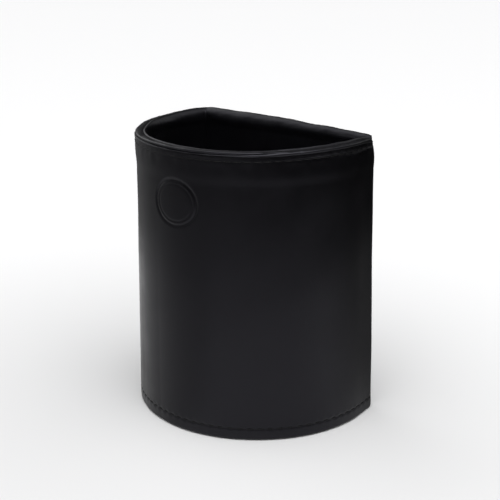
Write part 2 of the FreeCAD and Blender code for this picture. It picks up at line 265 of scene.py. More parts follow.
class PlanLine:
    """The outer face of the cover seen from above, by distance from the middle of the front.

    Distances run anticlockwise and are negative on the left. The left half mirrors the right.
    """

    def __init__(self, sizes):
        self.sizes, self.over = sizes, sizes.front_overrun
        over, radius, bow = sizes.front_overrun, sizes.front_radius, sizes.back_bow

        # half the width and the whole depth to the back corners, as if these were sharp
        half_back = radius * math.cos(over) - sizes.side_length * math.sin(over)
        depth = radius * (1 + math.sin(over)) + sizes.side_length * math.cos(over)
        corner_line = (depth - bow) / 2
        self.front_centre = np.array([0.0, corner_line - depth + radius])
        self.back_radius = (half_back ** 2 + bow ** 2) / (2 * bow)
        self.back_centre = np.array([0.0, corner_line + bow - self.back_radius])

        # the straight side, and the corner that is rounded between it and the back
        self.side_run = np.array([-math.sin(over), math.cos(over)])
        self.side_facing = np.array([math.cos(over), math.sin(over)])
        self.side_start = self.front_centre + self.side_facing * radius
        self.corner_axis = self._corner_point(sizes.corner_radius)
        side_end = self.corner_axis + self.side_facing * sizes.corner_radius
        rise = self.corner_axis - self.back_centre
        self.back_facing = math.atan2(rise[1], rise[0])
        self.mitre_facing = (over + self.back_facing) / 2

        # where front, side, corner and back end, and where the corner's mitre is
        front = radius * (math.pi / 2 + over)
        side = float((side_end - self.side_start) @ self.side_run)
        corner = sizes.corner_radius * (self.back_facing - over)
        back = self.back_radius * (math.pi / 2 - self.back_facing)
        self.ends = np.cumsum([front, side, corner, back])
        self.mitre = self.ends[1] + sizes.corner_radius * (self.mitre_facing - over)

    def _corner_point(self, inset):
        """Where the side and the back would meet, were both moved in by inset."""
        start = (self.front_centre + self.side_facing * (self.sizes.front_radius - inset)
                 - self.back_centre)
        along = start @ self.side_run
        reach = (self.back_radius - inset) ** 2 - start @ start + along ** 2
        return self.back_centre + start + self.side_run * (math.sqrt(reach) - along)

    def half(self):
        """Length of one half of the plan line."""
        return self.ends[3]

    def folded(self, distance):
        """A distance that runs on past the middle of the back, as one from the left."""
        return np.where(distance > self.half(), distance - 2 * self.half(), distance)

    def at(self, distance):
        """Points on the plan line and the outward facing there."""
        sizes, ends = self.sizes, self.ends
        distance = self.folded(distance)
        far = np.abs(distance)
        facing = np.where(far < ends[0], -math.pi / 2 + far / sizes.front_radius, self.over)
        turn = self.over + np.clip(far - ends[1], 0, ends[2] - ends[1]) / sizes.corner_radius
        facing = np.where(far > ends[1], turn, facing)
        facing = np.where(far > ends[2], self.back_facing + (far - ends[2]) / self.back_radius,
                          facing)
        out = np.stack([np.cos(facing), np.sin(facing)], -1)
        point = self.front_centre + out * sizes.front_radius
        run = np.clip(far - ends[0], 0, None)[..., None]
        point = np.where((far > ends[0])[..., None], self.side_start + self.side_run * run, point)
        point = np.where((far > ends[1])[..., None],
                         self.corner_axis + out * sizes.corner_radius, point)
        point = np.where((far > ends[2])[..., None], self.back_centre + out * self.back_radius,
                         point)
        flip = np.where(distance < 0, -1.0, 1.0)
        point, out = point.copy(), out.copy()
        point[..., 0] *= flip
        out[..., 0] *= flip
        return point, out

    def squared(self, distance, out):
        """How far out points at a rounded corner move to make it a sharp mitre."""
        far = np.abs(self.folded(distance))
        arc = np.minimum(far - self.ends[1], self.ends[2] - far).clip(0)
        radius = self.sizes.corner_radius
        return (radius + out) * (1 / np.cos(arc / radius) - 1)

    def reach_in(self, distance):
        """How far a point may move inwards from the plan line before it meets a corner mitre."""
        distance = self.folded(distance)
        point, out = self.at(np.abs(distance))
        normal = np.array([-math.sin(self.mitre_facing), math.cos(self.mitre_facing)])
        gap = (self.corner_axis - point) @ normal
        closing = -(out @ normal)
        with np.errstate(divide="ignore", invalid="ignore"):
            reach = np.where(np.abs(closing) > 1e-6, gap / closing, np.inf)
        reach = np.where(reach > 0, reach, np.inf)
        bend = (np.abs(distance) >= self.ends[1]) & (np.abs(distance) <= self.ends[2])
        return np.where(bend, self.sizes.corner_radius, reach)

    def offset_length(self, distance, outset):
        """Distance along the line that runs outset from the plan line, from the same start."""
        distance = self.folded(distance)
        far = np.abs(distance)
        sizes, ends = self.sizes, self.ends
        front = np.minimum(far, ends[0]) * (1 + outset / sizes.front_radius)
        side = np.clip(far - ends[0], 0, ends[1] - ends[0])
        corner = np.clip(far - ends[1], 0, ends[2] - ends[1]) * (1 + outset / sizes.corner_radius)
        back = np.clip(far - ends[2], 0, None) * (1 + outset / self.back_radius)
        return np.sign(distance) * (front + side + corner + back)


# ---------------------------------------------------------------- wall sections and meshes

def straight(start, end, count):
    """Evenly spaced points from start up to, but not including, end."""
    return [tuple(s + (e - s) * k / count for s, e in zip(start, end)) for k in range(count)]


def eased(start, corner, end, count):
    """Points round the quarter oval that eases the corner between start and end."""
    points = []
    for k in range(count + 1):
        turn = math.pi / 2 * k / count
        along, back = 1 - math.sin(turn), 1 - math.cos(turn)
        points.append(tuple(c + along * (s - c) + back * (e - c)
                            for s, c, e in zip(start, corner, end)))
    return points


def smooth(low, high, value):
    """A step from 0 at low to 1 at high, with eased ends."""
    t = np.clip((value - low) / (high - low), 0, 1)
    return t * t * (3 - 2 * t)


def bump(value, middle, reach):
    """A round bump of height 1 at middle that fades out over about twice reach."""
    return np.exp(-((value - middle) / reach) ** 2)


def waves(a, b, seed, size, count=7):
    """Slow uneven waves over a surface with coordinates a and b, about -1 to 1."""
    rng = np.random.default_rng(seed)
    total = np.zeros(np.broadcast(a, b).shape)
    for _ in range(count):
        turn, phase = rng.uniform(0, math.pi), rng.uniform(0, 2 * math.pi)
        wave = size * rng.uniform(0.7, 1.9)
        total += np.sin(2 * math.pi * (a * math.cos(turn) + b * math.sin(turn)) / wave + phase)
    return total / math.sqrt(count)


def uneven(plan, distance, table):
    """A value from one of the tables of unevenness, at distances along the plan line."""
    at, value = np.array(table, float).T
    return np.interp(plan.folded(distance), at * MM, value)


def hem_top_height(rim, hem):
    """Height of the cover's folded edge, just under the roll."""
    return CAD_HIGH.z - rim.roll_foot - hem.hem_clearance


def section_normals(out, up):
    """Outward unit normals of a closed section whose points run with the solid on their left."""
    d_out = np.roll(out, -1, 1) - np.roll(out, 1, 1)
    d_up = np.roll(up, -1, 1) - np.roll(up, 1, 1)
    size = np.hypot(d_out, d_up) + 1e-12
    return d_up / size, -d_out / size


def signed_volume(mesh):
    """Volume inside a closed mesh, below zero when its faces point inwards."""
    mesh.calc_loop_triangles()
    co = np.zeros(len(mesh.vertices) * 3, np.float32)
    mesh.vertices.foreach_get("co", co)
    tri = np.zeros(len(mesh.loop_triangles) * 3, np.int32)
    mesh.loop_triangles.foreach_get("vertices", tri)
    co, tri = co.reshape(-1, 3).astype(float), tri.reshape(-1, 3)
    a, b, c = co[tri[:, 0]], co[tri[:, 1]], co[tri[:, 2]]
    return float((a * np.cross(b, c)).sum() / 6)


def closed_mesh(name, verts, faces, material):
    """A smooth mesh with one material, whose faces point outwards."""
    mesh = bpy.data.meshes.new(name)
    mesh.from_pydata(verts.tolist(), [], faces)
    mesh.update()
    if signed_volume(mesh) < 0:
        mesh.flip_normals()
    mesh.polygons.foreach_set("use_smooth", [True] * len(mesh.polygons))
    mesh.materials.append(material)
    return mesh


def ring_quads(rings, points):
    """Faces between neighbouring rings, each a closed loop of the same number of points."""
    start = np.arange(rings - 1)[:, None] * points
    first = start + np.arange(points)
    after = start + (np.arange(points) + 1) % points
    return np.stack([first, first + points, after + points, after], -1).reshape(-1, 4).tolist()


def add_piece(name, mesh):
    """Links a finished mesh as a piece that rides on the cup."""
    piece = bpy.data.objects.new(name, mesh)
    bpy.context.scene.collection.objects.link(piece)
    return piece


def finished(piece, slot, *nodes):
    """Makes a piece ride on the cup and stand for its CAD nodes, which it hides."""
    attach(piece, "root")
    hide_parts(*nodes)


def carried(name, plan, distance, out, up, wear, material, crease=50):
    """A solid: one closed section for each distance along the plan line, with capped ends.

    Creases of more than the given angle, in degrees, stay sharp.
    """
    reach = plan.reach_in(distance)[:, None] - MITRE_GAP
    out = np.maximum(out, -reach)
    point, facing = plan.at(distance)
    flat = point[:, None, :] + facing[:, None, :] * out[..., None]
    verts = np.concatenate([flat, up[..., None]], -1).reshape(-1, 3)
    columns, rows = out.shape
    faces = ring_quads(columns, rows)
    faces.append(list(range(rows)))
    faces.append(list(range(columns * rows - 1, (columns - 1) * rows - 1, -1)))
    mesh = closed_mesh(name, verts, faces, material)
    mesh.set_sharp_from_angle(angle=math.radians(crease))
    layer = mesh.attributes.new("wear", "FLOAT", "POINT")
    layer.data.foreach_set("value", np.broadcast_to(wear, out.shape).astype(np.float32).ravel())
    return add_piece(name, mesh)


# ---------------------------------------------------------------- node groups and materials

def new_group(name, kind, inputs, outputs):
    """An empty node group with named sockets, and its input and output nodes."""
    tree = bpy.data.node_groups.new(name, kind)
    for label, socket, value in inputs:
        made = tree.interface.new_socket(label, in_out="INPUT", socket_type=socket)
        if value is not None:
            made.default_value = value
    for label, socket in outputs:
        tree.interface.new_socket(label, in_out="OUTPUT", socket_type=socket)
    return tree, tree.nodes.new("NodeGroupInput"), tree.nodes.new("NodeGroupOutput")


def put(tree, socket, value):
    """Gives an input its value, or a link where the value is itself a socket."""
    if isinstance(value, bpy.types.NodeSocket):
        tree.links.new(value, socket)
    else:
        socket.default_value = value


def node(tree, kind, values=None, **settings):
    """A node with its settings and input values; a value that is a socket is linked."""
    made = tree.nodes.new(kind)
    for key, value in settings.items():
        setattr(made, key, value)
    for key, value in (values or {}).items():
        put(tree, made.inputs[key], value)
    return made


def maths(tree, operation, a, b=0.5, c=0.5, clamp=False):
    """A Math node's result."""
    return node(tree, "ShaderNodeMath", {0: a, 1: b, 2: c}, operation=operation,
                use_clamp=clamp).outputs[0]


def vectors(tree, operation, a, b=(0, 0, 0)):
    """A Vector Math node's result: a number for a length or a dot product, else a vector."""
    made = node(tree, "ShaderNodeVectorMath", {0: a, 1: tuple(b)}, operation=operation)
    return made.outputs["Value" if operation in ("LENGTH", "DOT_PRODUCT") else "Vector"]


def ranged(tree, value, low, high, at_low=0.0, at_high=1.0, kind="LINEAR"):
    """A value that runs from at_low at low to at_high at high, and no further."""
    return node(tree, "ShaderNodeMapRange",
                {"Value": value, "From Min": low, "From Max": high, "To Min": at_low,
                 "To Max": at_high}, interpolation_type=kind).outputs["Result"]


def noise(tree, vector, size, **values):
    """Noise from 0 to 1 with patches of a given size."""
    scale = maths(tree, "DIVIDE", 1.0, size)
    return node(tree, "ShaderNodeTexNoise", {"Vector": vector, "Scale": scale, **values}
                ).outputs["Fac"]


def grain_group():
    """Leather grain: fine pebbles with creases between, and slow mottling."""
    tree, inside, outside = new_group(
        "Leather grain", "ShaderNodeTree",
        [("Vector", "NodeSocketVector", None), ("Pebble size", "NodeSocketFloat", 0.5 * MM),
         ("Crease", "NodeSocketFloat", 0.5), ("Mottle size", "NodeSocketFloat", 12 * MM)],
        [("Height", "NodeSocketFloat"), ("Mottle", "NodeSocketFloat")])
    vector, pebble = inside.outputs["Vector"], inside.outputs["Pebble size"]
    cells = node(tree, "ShaderNodeTexVoronoi",
                 {"Vector": vector, "Scale": maths(tree, "DIVIDE", 1.0, pebble)},
                 feature="DISTANCE_TO_EDGE")
    crease = ranged(tree, cells.outputs["Distance"], 0.0, 0.25)
    fine = maths(tree, "MULTIPLY", crease, inside.outputs["Crease"])
    height = maths(tree, "ADD", fine, noise(tree, vector, pebble, Detail=2.0))
    mottle = noise(tree, vector, inside.outputs["Mottle size"], Detail=3.0, Roughness=0.55)
    tree.links.new(height, outside.inputs["Height"])
    tree.links.new(mottle, outside.inputs["Mottle"])
    return tree


def wear_group():
    """Edge wear, which on the lip is partly a painted highlight: turns the worn-edge attribute
    into a broken mask.
    """
    tree, inside, outside = new_group(
        "Edge wear", "ShaderNodeTree",
        [("Vector", "NodeSocketVector", None), ("Edge", "NodeSocketFloat", 0.0),
         ("Patch size", "NodeSocketFloat", 1.5 * MM), ("Amount", "NodeSocketFloat", 0.5)],
        [("Mask", "NodeSocketFloat")])
    patch = noise(tree, inside.outputs["Vector"], inside.outputs["Patch size"], Detail=4.0)
    edge = maths(tree, "MULTIPLY", inside.outputs["Edge"], ranged(tree, patch, 0.3, 0.7))
    mask = maths(tree, "MULTIPLY", edge, inside.outputs["Amount"], clamp=True)
    tree.links.new(mask, outside.inputs["Mask"])
    return tree


def fibre_group():
    """Fibres: a tangle of short threads, for felt, cotton and board."""
    tree, inside, outside = new_group(
        "Fibres", "ShaderNodeTree",
        [("Vector", "NodeSocketVector", None), ("Fibre size", "NodeSocketFloat", 0.3 * MM)],
        [("Height", "NodeSocketFloat"), ("Fleck", "NodeSocketFloat")])
    lying = []
    for stretch in ((1.0, 0.25, 1.0), (0.25, 1.0, 1.0)):
        drawn = node(tree, "ShaderNodeMapping",
                     {"Vector": inside.outputs["Vector"], "Scale": stretch})
        lying.append(noise(tree, drawn.outputs[0], inside.outputs["Fibre size"], Detail=4.0,
                           Distortion=1.2))
    height = maths(tree, "MAXIMUM", *lying)
    tree.links.new(height, outside.inputs["Height"])
    tree.links.new(ranged(tree, height, 0.45, 0.75), outside.inputs["Fleck"])
    return tree


def shared(name, make):
    """A node group by name, made the first time it is asked for."""
    return bpy.data.node_groups.get(name) or make()


def made_once(name, make, **values):
    """A material by name, made the first time it is asked for."""
    return bpy.data.materials.get(name) or make(name, **values)


def new_material(name, values):
    """A material with a Principled BSDF whose plain values are set on its own sockets."""
    material = bpy.data.materials.new(name)
    material.use_nodes = True
    shader = material.node_tree.nodes["Principled BSDF"]
    for key, value in values.items():
        shader.inputs[key].default_value = value
    where = material.node_tree.nodes.new("ShaderNodeTexCoord").outputs["Object"]
    return material, shader, where


def grouped(tree, name, make, values):
    """A shared group, placed in a material with its own values."""
    return node(tree, "ShaderNodeGroup", values, node_tree=shared(name, make)).outputs


def mixed(tree, factor, a, b):
    """Two colours mixed by a factor."""
    made = node(tree, "ShaderNodeMix", {"Factor": factor}, data_type="RGBA")
    for key, value in (("A", a), ("B", b)):
        socket = next(s for s in made.inputs if s.name == key and s.type == "RGBA")
        put(tree, socket, value if isinstance(value, bpy.types.NodeSocket) else (*value, 1.0))
    return next(s for s in made.outputs if s.type == "RGBA")


def shaded(colour, factor):
    """A colour made darker or paler by a factor."""
    return tuple(min(1.0, factor * c) for c in colour)


def surfaced(tree, shader, colour, roughness, height, strength, depth):
    """Gives a shader its colour, its roughness and its relief of a given strength and depth."""
    relief = node(tree, "ShaderNodeBump", {"Height": height, "Strength": strength,
                                           "Distance": depth})
    put(tree, shader.inputs["Base Color"], colour)
    put(tree, shader.inputs["Roughness"], roughness)
    put(tree, shader.inputs["Normal"], relief.outputs["Normal"])


def leather(name, black, worn, roughness, pebble, depth, specular):
    """Dyed, polished leather with a fine grain that wears paler on its folds; on the lip that
    paler colour is partly a painted highlight.
    """
    mottling, duller, glossier, violet = 0.28, 0.045, 0.035, (0.88, 0.87, 1.0, 1.0)
    material, shader, where = new_material(name, {"Specular IOR Level": specular,
                                                  "Specular Tint": violet})
    tree = material.node_tree
    grain = grouped(tree, "Leather grain", grain_group,
                    {"Vector": where, "Pebble size": pebble, "Crease": 0.6,
                     "Mottle size": 11 * MM})
    edge = node(tree, "ShaderNodeAttribute", attribute_name="wear").outputs["Fac"]
    wear = grouped(tree, "Edge wear", wear_group, {"Vector": where, "Edge": edge, "Amount": 0.9})
    dyed = mixed(tree, grain["Mottle"], shaded(black, 1 - mottling), shaded(black, 1 + mottling))
    gloss = ranged(tree, grain["Mottle"], 0.3, 0.7, roughness - glossier, roughness + duller)
    surfaced(tree, shader, mixed(tree, wear["Mask"], dyed, worn), gloss, grain["Height"],
             strength=1.0, depth=depth)
    return material


def fibrous(name, dark, light, roughness, fibre, depth):
    """Felt, cotton or board: matt fibres that vary in tone."""
    rougher = min(1.0, roughness + 0.08)
    material, shader, where = new_material(name, {"Specular IOR Level": 0.25})
    tree = material.node_tree
    fibres = grouped(tree, "Fibres", fibre_group, {"Vector": where, "Fibre size": fibre})
    surfaced(tree, shader, mixed(tree, fibres["Fleck"], dark, light),
             ranged(tree, fibres["Fleck"], 0.0, 1.0, roughness, rougher), fibres["Height"],
             strength=0.8, depth=depth)
    return material


def twisted(name, dark, light, roughness, attribute, depth):
    """Twisted thread: plies that run round it, from its own coordinate along the thread."""
    duller = roughness + 0.1
    material, shader, _ = new_material(name, {"Specular IOR Level": 0.2})
    tree = material.node_tree
    along = node(tree, "ShaderNodeAttribute", attribute_name=attribute).outputs["Vector"]
    strand = node(tree, "ShaderNodeTexWave",
                  {"Vector": along, "Scale": 1.0, "Distortion": 0.6, "Detail": 1.0},
                  wave_type="BANDS", bands_direction="X").outputs["Fac"]
    surfaced(tree, shader, mixed(tree, strand, dark, light),
             ranged(tree, strand, 0.0, 1.0, duller, roughness), strand, strength=0.8,
             depth=depth)
    return material


def cover_leather(finish):
    """The cover's leather, with a soft sheen."""
    return made_once("Cover leather", leather, black=finish.cover_black, worn=finish.worn_and_lip_highlight,
                     roughness=finish.cover_gloss, pebble=0.45 * MM, depth=0.012 * MM,
                     specular=0.28)


def lining_leather(finish):
    """The lining's leather, more reflective than the cover's and a little finer."""
    return made_once("Lining leather", leather, black=finish.lining_black,
                     worn=finish.worn_and_lip_highlight, roughness=finish.lining_gloss, pebble=0.4 * MM,
                     depth=0.010 * MM, specular=0.43)


def grey_board(finish):
    """The boards inside the walls and the floor."""
    return made_once("Grey board", fibrous, dark=shaded(finish.board_grey, 0.8),
                     light=shaded(finish.board_grey, 1.15), roughness=0.85, fibre=0.8 * MM,
                     depth=0.05 * MM)


def cotton_cord(finish):
    """The cotton of the cords that pad the rim."""
    return made_once("Cotton cord", fibrous, dark=shaded(finish.cotton_white, 0.75),
                     light=tuple(finish.cotton_white), roughness=0.9, fibre=0.35 * MM,
                     depth=0.08 * MM)


def black_felt(finish):
    """The felt under the foot."""
    return made_once("Felt", fibrous, dark=shaded(finish.felt_black, 0.6),
                     light=shaded(finish.felt_black, 1.7), roughness=0.92, fibre=0.25 * MM,
                     depth=0.12 * MM)


def waxed_thread(finish):
    """The waxed thread of the stitches."""
    return made_once("Waxed thread", twisted, dark=shaded(finish.thread_black, 0.6),
                     light=shaded(finish.thread_black, 1.8), roughness=0.5, attribute="along",
                     depth=0.05 * MM)


# ---------------------------------------------------------------- pieces

def spaced(start, end, step):
    """Distances from start to end, evenly spaced, at most one step apart."""
    return np.linspace(start, end, int(math.ceil((end - start) / step)) + 1)


def eased_ends(start, end, step, edge):
    """Distances from start to end with a few extra, close to both ends, for a rounded edge."""
    inner = spaced(start + edge, end - edge, step)
    near = edge * np.array([0, 0.08, 0.25, 0.55])
    return np.concatenate([start + near, inner, (end - near)[::-1]])


def end_drop(distance, start, end, edge):
    """How far a cut edge is rounded off, from 1 at either end to 0."""
    gap = np.clip(np.minimum(distance - start, end - distance) / edge, 0, 1)
    return 1 - np.sqrt(np.clip(1 - (1 - gap) ** 2, 0, 1))


def stitch_row(plan, outset, pitch):
    """How many stitches a row has, evenly spaced all round, and the true pitch."""
    around = 2 * plan.offset_length(np.array([plan.half()]), outset)[0]
    count = round(around / pitch)
    return count, around / count


def stitch_phase(plan, distance, outset, pitch):
    """Distance to the nearest stitch's middle along a row, and the row's true pitch."""
    _, each = stitch_row(plan, outset, pitch)
    along = plan.offset_length(distance, outset)
    return np.mod(along / each + 0.5, 1) * each - each / 2, each


def row_relief(sizes, phase, each, gap):
    """How far a row of stitches lifts or sinks the leather at a height gap from the row."""
    hole_share, narrower, hole_reach, swell_reach = 0.5, 0.8, 0.3 * MM, 1.0 * MM
    furrow = -sizes.furrow_depth * bump(gap, 0, sizes.furrow_width)
    hole = -hole_share * sizes.furrow_depth * bump(gap, 0, narrower * sizes.furrow_width)
    hole = hole * bump(np.abs(phase), sizes.stitch_length / 2, hole_reach)
    swell = -sizes.pucker * np.cos(2 * math.pi * phase / each)
    return furrow + hole + swell * bump(gap, 0, swell_reach)


def ring_relief(sizes, distance, up, top):
    """Depth of the stamped ring and the finer ring inside it, and the faint swell beside."""
    depth, width = sizes.ring_depth, sizes.ring_width
    flatness, swell_share, fine_share = 1.25, 0.12, 0.5
    far = np.hypot(distance / sizes.ring_stretch, up - (top - sizes.ring_inset))
    middle, fine = sizes.ring_radius - width / 2, sizes.inner_ring - width / 4
    stamped = -depth * np.clip(flatness * bump(far, middle, 0.42 * width), 0, 1)
    swell = swell_share * depth * bump(far, middle, 1.6 * width)
    return stamped + swell - fine_share * depth * bump(far, fine, 0.3 * width)


def cover_section(hem, top):
    """The cover's section: (out, up) points, and how much each belongs to its outer face."""
    thick, lift, inner = hem.cover_thickness, hem.foot_lift, hem.foot_lift + hem.cover_thickness
    middle, half = hem.hem_outset - thick / 2, thick / 2
    fold_reach = 0.15 * MM
    back = hem.hem_outset - thick - fold_reach
    deep = back - fold_reach
    foot = top - hem.hem_height
    full = foot + hem.bulge_height
    heel, fold_start, fold_steps = hem.foot_radius, top - 0.25 * half, 6
    heel_start = -1.5 * heel
    # rows lie closest where the stitches, the ring and the hem need them
    by_stitches, past_stitches, below_ring = 5.2 * MM, 8.4 * MM, 70 * MM
    outside = straight((-hem.turn_under, lift), (heel_start, lift), 5)
    outside += eased((heel_start, lift), (0, lift), (0, lift + heel), 9)
    outside += straight((0, lift + heel), (0, by_stitches), 20)[1:]
    outside += straight((0, by_stitches), (0, past_stitches), 7)
    outside += straight((0, past_stitches), (0, below_ring), 14)
    outside += straight((0, below_ring), (0, foot), 46)
    outside += [(hem.hem_outset * float(smooth(0, 1, t)) ** 1.2, foot + (full - foot) * t)
                for t in np.arange(14) / 14]
    outside += straight((hem.hem_outset, full), (hem.hem_outset, fold_start), 16)
    fold = eased((hem.hem_outset, fold_start), (hem.hem_outset, top), (middle, top), fold_steps)
    fold += eased((middle, top), (back, top), (back, top - half), 5)[1:]
    inside = [(deep, top - 1.0 * MM), (deep, full), (-thick, foot), (-thick, inner + 1.0 * MM),
              (-thick, inner), (-hem.turn_under, inner)]
    points = np.array(outside + fold + inside)
    outer = np.zeros(len(points))
    outer[:len(outside) + fold_steps + 1] = 1
    return points, outer


def cover_ease(plan, distance, up, hem):
    """How far the cover eases out towards its foot, and in at the waist of one corner."""
    top = CAD_HIGH.z
    waist_up, waist_reach, waist_spread = 0.73 * top, 34 * MM, 14 * MM
    spread = MM * uneven(plan, distance, FOOT_SPREAD) * (1 - up / top)
    corner = bump(plan.folded(distance), plan.mitre, waist_spread)
    return spread - hem.corner_waist * corner * bump(up, waist_up, waist_reach)


def cover_relief(plan, distance, up, hem_top, settings):
    """How far stitches, ring, slack and crumples lift or sink the cover's outer face."""
    hem, stitch, far = settings.cup_hem, settings.cup_stitch, distance[:, None]
    rows = ((hem.hem_outset, hem_top - stitch.rim_inset, uneven(plan, far, STITCH_DEPTH)),
            (0, stitch.base_height, 1))
    lift = ring_relief(settings.cup_ring, far, up, CAD_HIGH.z)
    for outset, height, depth in rows:
        phase, each = stitch_phase(plan, distance, outset, stitch.pitch)
        lift = lift + depth * row_relief(stitch, phase[:, None], each, up - height)
    on_wall = smooth(1.5 * MM, 9 * MM, up) * (1 - smooth(hem_top - 1.2 * MM, hem_top, up))
    lift += hem.slack * on_wall * waves(far, up, *WAVES["slack"])
    crumple_height, crumple_drop, crumple_reach = 0.05 * MM, 3.4 * MM, 2.2 * MM
    crumpled = crumple_height * bump(up, hem_top - crumple_drop, crumple_reach)
    return lift + crumpled * waves(far, 0.4 * up, *WAVES["crumples"])


def make_cover(name, node_name, plan, start, end, settings):
    """One of the two covers, between two distances along the plan line."""
    hem, finish = settings.cup_hem, settings.cup_finish
    hem_top = hem_top_height(settings.cup_rim, hem)
    hem_foot = hem_top - hem.hem_height
    points, outer = cover_section(hem, hem_top)
    cut_edge, cut_drop, step = 0.35 * MM, 0.3 * MM, 0.34 * MM
    edge_wave, lead_in = 0.05 * MM, 5 * MM
    distance = eased_ends(start, end, step, cut_edge)
    far = distance[:, None]
    out = np.repeat(points[None, :, 0], len(distance), 0)
    up = np.repeat(points[None, :, 1], len(distance), 0)
    lift = cover_relief(plan, distance, up, hem_top, settings)
    lift -= cut_drop * end_drop(distance, start, end, cut_edge)[:, None]
    nudge = edge_wave * waves(far, 0 * far, *WAVES["folded edge"])
    nudge = nudge + MM * uneven(plan, far, RIM_RISE)
    up = up + nudge * smooth(hem_top - 3 * MM, hem_top, up)
    eased_out = cover_ease(plan, far, up, hem)
    behind = hem.hem_outset - hem.cover_thickness
    thinner = (1 - uneven(plan, far, HEM_FULLNESS)) * hem.hem_outset / hem.cover_thickness
    on_hem = smooth(hem_foot, hem_foot + hem.bulge_height, up)
    out = out - np.clip(out - behind, 0, None) * thinner * on_hem
    out = out - MM * uneven(plan, far, CORNER_DRAW) * smooth(hem_top - 5 * MM, hem_top, up)
    n_out, n_up = section_normals(out, up)
    eased_out = eased_out * outer * np.clip((out + hem.turn_under) / lead_in, 0, 1)
    out = out + n_out * lift * outer + eased_out
    up = up + n_up * lift * outer
    worn = (finish.hem_wear * bump(points[:, 1], hem_top, 0.5 * MM)
            + finish.foot_wear * bump(points[:, 1], 1 * MM, 0.9 * MM))
    piece = carried(name, plan, distance, out, up, worn * outer, cover_leather(finish))
    finished(piece, "cover_leather", node_name)
    return piece


def roll_section(rim, lip_out, lip_top, dip, crest, crest_up, widest, tuck, ridged):
    """The rolled rim's part of the section, from the lip's outer side down to its foot."""
    steps, foot_end = np.arange(1, 8) / 8, 0.4 * MM
    rolled = [(lip_out + (crest - lip_out) * t,
               dip + (crest_up - dip) * math.sin(math.pi / 2 * t) ** 1.3) for t in steps]
    low = widest
    if ridged:
        fold_in, fold_out, fold_drop, bead_drop = -0.6 * MM, 0.3 * MM, 0.32 * MM, 0.33 * MM
        low, middle = widest - bead_drop, rim.roll_outset - rim.ridge
        in_crease = (fold_out - 0.05 * MM, lip_top - 0.55 * MM)
        rolled += [(crest, crest_up)]
        rolled += eased((fold_in, crest_up), (fold_out, crest_up),
                        (fold_out, crest_up - fold_drop), 9)
        rolled += [in_crease, (0, low + 0.8 * rim.ridge)]
        rolled += [(middle - rim.ridge * math.cos(t), low + rim.ridge * math.sin(t))
                   for t in np.radians(np.linspace(30, 160, 12))]
    else:
        rolled += eased((crest, crest_up), (rim.roll_outset, crest_up),
                        (rim.roll_outset, widest), 24)
    return rolled + eased((rim.roll_outset, low), (rim.roll_outset, tuck), (foot_end, tuck), 5)[1:]


def lining_section(rim, hem, top, foot, lip, ridged=0):
    """The lining's section: (out, up) points, and how much each belongs to a face that shows.

    lip is how crisp the thin lip at the mouth is, from 0 to 1. A ridged section has a crease
    in its roll, with a bead outside it.
    """
    inner = -rim.inner_face
    deep = inner + rim.inner_step
    lip_top = top - rim.lip_drop * lip
    shoulder, fall = (2.6 - 2.3 * lip) * MM, (2.8 - 0.9 * lip) * MM  # the mouth's rounding
    lip_in, lip_out = inner + shoulder, inner + shoulder + rim.lip_width
    crest = max(-rim.roll_crest, lip_out + 0.1 * MM)
    crest_up = lip_top - rim.roll_drop * lip * (1 - 1.05 * ridged)
    widest, tuck = top - rim.roll_fall, top - rim.roll_foot
    swell = min(lip_top - rim.inner_swell, lip_top - fall - 0.05 * MM)
    step_up = 2.8 * MM

    # up the inside, and round the mouth's shoulder to the lip
    shown = straight((deep, foot), (deep, swell - step_up), 20)
    shown += [(deep - rim.inner_step * float(smooth(0, 1, t)), swell - step_up * (1 - t))
              for t in np.arange(10) / 10]
    shown += straight((inner, swell), (inner, lip_top - fall), 4)
    shown += eased((inner, lip_top - fall), (inner, lip_top), (lip_in, lip_top), 12)[:-1]

    # across the lip and down into the groove behind it
    flat_share, lip_fall = 0.3, 0.02 * MM
    lip_edge = lip_top - lip_fall
    dip = lip_top - rim.lip_groove * lip * (1 - 0.5 * ridged) - 0.05 * MM
    shown += [(lip_in, lip_top)]
    shown += [(lip_in + (flat_share + (1 - flat_share) * t) * rim.lip_width,
               lip_edge - (lip_edge - dip) * float(smooth(0, 1, t))) for t in np.arange(6) / 5]
    shown += roll_section(rim, lip_out, lip_top, dip, crest, crest_up, widest, tuck, ridged)

    # hidden: turned down inside the hem, up again beside the cord and down behind the wall
    hem_foot = tuck - hem.hem_clearance - hem.hem_height
    full = hem_foot + hem.bulge_height
    turned_end = (hem_foot + full) / 2
    roof = top - 1.55 * MM
    foot_in, turned_out, edge_out, turned_in = -0.25 * MM, -0.45 * MM, -0.6 * MM, -0.98 * MM
    cord_side, wall_side = -1.75 * MM, -2.7 * MM
    hidden = [(foot_in, tuck), (foot_in, tuck - 0.5 * MM), (turned_out, tuck - 1.0 * MM),
              (turned_out, full), (edge_out, turned_end), (turned_in, turned_end),
              (turned_in, roof), (cord_side, roof), (wall_side, roof), (wall_side, foot)]
    points = np.array(shown + hidden)
    face = np.zeros(len(points))
    face[:len(shown)] = 1
    return points, face


def lining_relief(rim, top, far, out, up, pinches):
    """How far small waves and the corner pinches lift or sink the lining's face."""
    roll_wave, fine_wave, wall_wave = 0.05 * MM, 0.03 * MM, 0.08 * MM
    over = smooth(top - 5 * MM, top - 1.5 * MM, up)
    lift = roll_wave * over * waves(far, out, *WAVES["roll"])
    lift += fine_wave * over * waves(far, 2 * out, *WAVES["fine roll"])
    lift += wall_wave * (1 - over) * waves(far, up, *WAVES["wall lining"])
    # the pinches lie just under the roll, on the inside
    under = smooth(top - 6 * MM, top - 3.5 * MM, up)
    under = under * (1 - smooth(top - 2.2 * MM, top - 0.8 * MM, up))
    for corner in pinches:
        lift -= rim.pinch_depth * bump(np.abs(far - corner), 0, rim.pinch_reach) * under
    return lift


